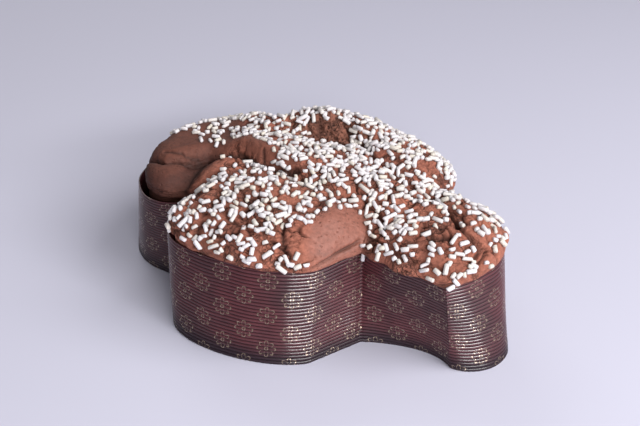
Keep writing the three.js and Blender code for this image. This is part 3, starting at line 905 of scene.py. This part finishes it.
du, dv = [from_middle(split[i], FLOWER_PITCH[i]) for i in (0, 1)]
squares = calc(rosette, "ADD", times(rosette, du, du), times(rosette, dv, dv))
radius = calc(rosette, "SQRT", squares)
angle = calc(rosette, "ARCTAN2", dv, du)
lobes = calc(rosette, "ABSOLUTE", calc(rosette, "COSINE", times(rosette, angle, PETALS / 2)))
petal_edge = calc(rosette, "POWER", lobes, PETAL_ROUND)
petal_edge = calc(rosette, "MULTIPLY_ADD", petal_edge, PETAL_LENGTH, PETAL_FOOT)
petals = line_mask(calc(rosette, "SUBTRACT", radius, petal_edge), PETAL_LINE)
heart = line_mask(calc(rosette, "SUBTRACT", radius, HEART_RADIUS), HEART_LINE)
feed(result, Mask=calc(rosette, "MAXIMUM", petals, heart))
print("rosette:", len(rosette.nodes), "nodes")

# %% [markdown]
# The paper is a satin maroon. Shade is painted into its colour: darker towards the foot, in the valleys and
# on the underside of each rib. The gold is metallic and worn thin in places. Only the upper side of a rib is
# burnished, by a coat, which draws the fine bright lines down the wall.

# %% Paper material
MAROON, MAROON_FADED = (0.05, 0.0155, 0.02, 1), (0.088, 0.021, 0.026, 1)
# Painted shade: colours for the foot of the wall, and for the rib valleys and undersides.
FOOT_PAINTED_SHADE, RIB_PAINTED_SHADE = (0.014, 0.008, 0.014, 1), (0.006, 0.003, 0.004, 1)
GOLD = (0.33, 0.25, 0.188, 1)
# The painted shade at the foot fades out between these heights.
FOOT_SHADE_HEIGHTS = (2.0, 17.0)  # mm above the base

paper_finish, tree, shader = new_material("maroon baking paper")
place = object_place(tree)
strip_map = node(tree, "UVMap", {"uv_map": "strip"}).outputs[0]
flowers = [placed(tree, rosette, Strip=strip_map, Shift=shift) for shift in (0.0, 0.5)]
worn = spread(tree, placed(tree, speckle, Size=700.0, Amount=1.0), 0.7, 1.0)
gold = times(tree, calc(tree, "MAXIMUM", *flowers), worn)
height_up = times(tree, node(tree, "SeparateXYZ", in0=strip_map).outputs[1], FLOWER_PITCH[1])
height_up = calc(tree, "SUBTRACT", height_up, PRINT_RISE)
rib_phase = calc(tree, "FRACT", calc(tree, "DIVIDE", height_up, RIB_PITCH))
# Masks for the painted shade of the ribs: the valleys, and the underside of each rib, which faces down.
valley = spread(tree, calc(tree, "ABSOLUTE", calc(tree, "SUBTRACT", rib_phase, 0.5)), 0.34, 0.48)
underside = rest_of(tree, spread(tree, rib_phase, 0.15, 0.45))
burnished = calc(tree, "SUBTRACT", spread(tree, rib_phase, 0.4, 0.6), spread(tree, rib_phase, 0.86, 0.97))
# Mask of the painted shade at the foot of the wall. It also takes the coat away there.
foot_shade = rest_of(tree, spread(tree, height_up, *FOOT_SHADE_HEIGHTS))
colour = colour_mix(tree, spread(tree, noise(tree, place, 26.0, 3.0), 0.35, 0.65), MAROON, MAROON_FADED)
colour = colour_mix(tree, times(tree, foot_shade, 0.9), colour, FOOT_PAINTED_SHADE)
# Painted shade in the rib valleys and on each rib's underside.
painted_rib_shade = calc(tree, "MAXIMUM", times(tree, valley, 0.85), times(tree, underside, 0.6))
colour = colour_mix(tree, painted_rib_shade, colour, RIB_PAINTED_SHADE)
colour = colour_mix(tree, 1.0, colour, placed(tree, speckle, Size=90.0, Amount=0.6), "MULTIPLY")
colour = colour_mix(tree, gold, colour, GOLD)
open_wall = times(tree, rest_of(tree, attribute(tree, "corner")), rest_of(tree, times(tree, foot_shade, 0.6)))
feed(shader, Base_Color=colour, Metallic=times(tree, gold, 0.75), Specular_IOR_Level=0.2,
     Roughness=calc(tree, "SUBTRACT", 0.45, times(tree, gold, 0.18)))
feed(shader, Coat_Weight=times(tree, burnished, open_wall), Coat_Roughness=0.2, Coat_IOR=1.55,
     Normal=bump(tree, noise(tree, place, 900.0, 3.0), 0.12, 0.0001))
case.data.materials.append(paper_finish)
print(f"{paper_finish.name}: {len(tree.nodes)} nodes")

# %% [markdown]
# ### Crust
# Some cracks of a dry crust are finer than its mesh. They are drawn by the material, with the same idea
# as the modelled ones: borders of random cells, bent by noise and present only in places. Two sizes are
# used, so the effect is a group.

# %% Crackle group
CRACKLE_BEND = 0.011  # metres
crackle, given, result = new_group("crackle", "Crack", Size="Float", Width="Float", Cover="Float")
place = object_place(crackle)
bend = node(crackle, "TexNoise", Vector=place, Scale=150.0, Detail=3.0).outputs["Color"]
bend = node(crackle, "VectorMath", {"operation": "SUBTRACT"}, in0=bend, in1=(0.5, 0.5, 0.5))
bend = node(crackle, "VectorMath", {"operation": "SCALE"}, in0=bend.outputs[0], Scale=CRACKLE_BEND)
bent = node(crackle, "VectorMath", {"operation": "ADD"}, in0=place, in1=bend.outputs[0])
cell = node(crackle, "TexVoronoi", {"feature": "DISTANCE_TO_EDGE"}, Vector=bent.outputs[0],
            Scale=given["Size"]).outputs["Distance"]
line = rest_of(crackle, spread(crackle, cell, 0.0, given["Width"]))
where = calc(crackle, "ADD", noise(crackle, place, 55.0, 2.0), given["Cover"])
feed(result, Crack=times(crackle, line, spread(crackle, where, 0.45, 0.6)))
print("crackle:", len(crackle.nodes), "nodes")

# %% [markdown]
# Cocoa dough bakes to a warm brown, checked against the photo because crusts easily turn too red. Shade is
# painted into the colour: the folds, cracks, holes and pinholes are darker, the tail is darker, most of all
# low on its face, and the neck roll a little. The torn crumb is moister and richer, and the stretched skin on
# the bulge has a faint shine and a few pinholes.

# %% Crust colour
COCOA, COCOA_PALE = (0.25, 0.083, 0.053, 1), (0.425, 0.15, 0.097, 1)
BULGE_BROWN, CRUMB_BROWN = (0.25, 0.094, 0.066, 1), (0.27, 0.105, 0.068, 1)
# Painted shade: the browns of the tail, the darker one low on its face.
TAIL_SHADED_BROWN, TAIL_FACE_SHADE = (0.08, 0.0255, 0.0165, 1), (0.054, 0.0165, 0.0115, 1)
# Painted shade for the cracks, folds, holes and pinholes.
CRACK_PAINTED_SHADE = (0.04, 0.014, 0.01, 1)

crust_finish, tree, shader = new_material("cocoa crust")
place = object_place(tree)
on_bulge, on_shaded_tail, on_stretched_and_shaded, on_torn, on_tight, deep_in = [
    attribute(tree, label) for label in ("bulge", "tail", "stretched_and_shaded", "torn", "tight", "deep")]
rough_skin = rest_of(tree, on_tight)
crackles = [placed(tree, crackle, Size=size, Width=width, Cover=cover)
            for size, width, cover in ((85.0, 0.08, 0.04), (200.0, 0.11, -0.03))]
small_cracks = times(tree, calc(tree, "MAXIMUM", *crackles), rough_skin)
holes = times(tree, rest_of(tree, spread(tree, voronoi(tree, place, 310.0), 0.15, 0.5)), on_torn)
pinholes = times(tree, rest_of(tree, spread(tree, voronoi(tree, place, 230.0), 0.08, 0.2)), on_bulge)
# Painted shade in cracks, folds, holes and pinholes.
painted_crack_shade = deep_in
for mask, weight in ((small_cracks, 0.8), (holes, 0.8), (pinholes, 0.6)):
    painted_crack_shade = calc(tree, "MAXIMUM", painted_crack_shade, times(tree, mask, weight))
colour = colour_mix(tree, spread(tree, noise(tree, place, 32.0, 6.0), 0.3, 0.7), COCOA, COCOA_PALE)
colour = colour_mix(tree, on_bulge, colour, BULGE_BROWN)
# Painted shade on the tail, darkest low on its face. The neck roll gets part of the same brown.
colour = colour_mix(tree, times(tree, on_shaded_tail, 0.85), colour, TAIL_SHADED_BROWN)
colour = colour_mix(tree, times(tree, on_stretched_and_shaded, 0.85), colour, TAIL_FACE_SHADE)
colour = colour_mix(tree, on_torn, colour, CRUMB_BROWN)
colour = colour_mix(tree, times(tree, painted_crack_shade, 0.85), colour, CRACK_PAINTED_SHADE)
colour = colour_mix(tree, 1.0, colour, placed(tree, speckle, Size=420.0, Amount=1.1), "MULTIPLY")
feed(shader, Base_Color=colour, Specular_IOR_Level=0.35,
     Roughness=calc(tree, "SUBTRACT", 0.72, times(tree, on_bulge, 0.22)))
print("crust colour from", len(tree.nodes), "nodes")

# %% [markdown]
# The finest grain is a bump: noise that is weaker on tight skin, pores, level strands where the skin of the
# tail was pulled, and the small cracks and holes again, so that they are sunk as well as darkened by painted
# shade.

# %% Crust grain
STRANDS = (60.0, 60.0, 700.0)  # long in plan and thin in height
grain_height = noise(tree, place, 450.0, 7.0, Roughness=0.75)
grain_height = times(tree, grain_height, calc(tree, "MULTIPLY_ADD", rough_skin, 0.8, 0.25))
pores = spread(tree, voronoi(tree, place, 330.0), 0.08, 0.3)
flow = node(tree, "Mapping", Vector=place, Scale=STRANDS).outputs[0]
strands = times(tree, noise(tree, flow, 1.0, 3.0), times(tree, on_stretched_and_shaded, 0.6))
for raised in (times(tree, pores, 0.22), strands):
    grain_height = calc(tree, "ADD", grain_height, raised)
for sunk in (times(tree, small_cracks, 0.9), holes):
    grain_height = calc(tree, "SUBTRACT", grain_height, sunk)
feed(shader, Normal=bump(tree, grain_height, 1.0, 0.0016))
crust.data.materials.append(crust_finish)
print(f"{crust_finish.name}: {len(tree.nodes)} nodes")

# %% [markdown]
# ### Sugar
# Pressed sugar is white and chalky. No two nibs are quite the same: a tone kept on each rod warms a few
# of them towards cream, and a fine bump takes the plastic look away.

# %% Sugar material
WHITE, CREAM = (0.635, 0.6, 0.62, 1), (0.585, 0.53, 0.465, 1)
sugar_finish, tree, shader = new_material("pressed sugar")
chalk = noise(tree, object_place(tree), 1200.0, 3.0)
feed(shader, Base_Color=colour_mix(tree, attribute(tree, "tone"), WHITE, CREAM), Roughness=0.6,
     Normal=bump(tree, chalk, 0.3, 0.0003))
nibs.data.materials.append(sugar_finish)
print(f"{sugar_finish.name}: {len(tree.nodes)} nodes")

# %% [markdown]
# ## Studio
# The loaf stands on a plain pale floor under a dim sky. A large soft light at the right shapes the
# mounds, a wide low one before the loaf draws the shine on the ribs, and a weak one behind keeps the
# far side from going black.

# %% Floor and lights
FLOOR_SIZE = 8  # metres
FLOOR_GREY = (0.56, 0.55, 0.655, 1)
AIM = [0, 0, 0.04]  # the lights look at this point, in metres
LIGHTS = [  # name, azimuth and elevation in degrees, distance, width and height in metres, watts
    ("window", 12, 46, 2.3, 1.4, 1.4, 38), ("front", -31, 27, 1.7, 1.6, 0.22, 35),
    ("back", 150, 40, 2.2, 1.2, 1.2, 9),
]
SKY, SKY_STRENGTH = (0.93, 0.93, 1.0, 1), 0.16

bpy.ops.mesh.primitive_plane_add(size=FLOOR_SIZE)
floor = bpy.context.object
floor.name = "studio_floor"
floor_finish, tree, shader = new_material("pale floor")
feed(shader, Base_Color=FLOOR_GREY, Roughness=0.7)
floor.data.materials.append(floor_finish)


def soft_light(name, azimuth, elevation, distance, width, height, power):
    """A rectangular area light that looks at the loaf from a direction given in degrees."""
    a, e = np.radians([azimuth, elevation])
    away = np.array([np.cos(a) * np.cos(e), np.sin(a) * np.cos(e), np.sin(e)])
    data = bpy.data.lights.new(name, "AREA")
    data.shape = "RECTANGLE"
    data.size, data.size_y, data.energy = width, height, power
    light = bpy.data.objects.new(name, data)
    light.location = away * distance + AIM
    light.rotation_euler = Vector(-away).to_track_quat("-Z", "Y").to_euler()
    bpy.context.scene.collection.objects.link(light)


for light_values in LIGHTS:
    soft_light(*light_values)
world = bpy.data.worlds.new("studio")
world.use_nodes = True
feed(world.node_tree.nodes["Background"], Color=SKY, Strength=SKY_STRENGTH)
bpy.context.scene.world = world
bpy.context.scene.view_settings.view_transform = "Standard"
print(len(LIGHTS), "lights")

# %% [markdown]
# ## Camera
# The view of the photograph, found by fitting a pinhole camera to the edges of the base and the rim.

# %% Camera
IMAGE_WIDTH = 640  # pixels
FOCAL_PIXELS = 929.7
SENSOR = 36
camera_place = np.array([303.56, -449.84, 395.40])
camera_back = np.array([0.468673, -0.708865, 0.527120])
camera_right = np.array([0.832535, 0.553953, 0.004726])
camera_up = np.cross(camera_back, camera_right)
data = bpy.data.cameras.new("view")
data.sensor_width = SENSOR
data.lens = FOCAL_PIXELS / IMAGE_WIDTH * SENSOR
data.clip_start = 0.01
camera = bpy.data.objects.new("view", data)
camera.matrix_world = Matrix.Translation(camera_place * MM) @ Matrix(
    np.column_stack([camera_right, camera_up, camera_back]).tolist()).to_4x4()
bpy.context.scene.collection.objects.link(camera)
bpy.context.scene.camera = camera
print(f"focal length {data.lens:.1f} mm")
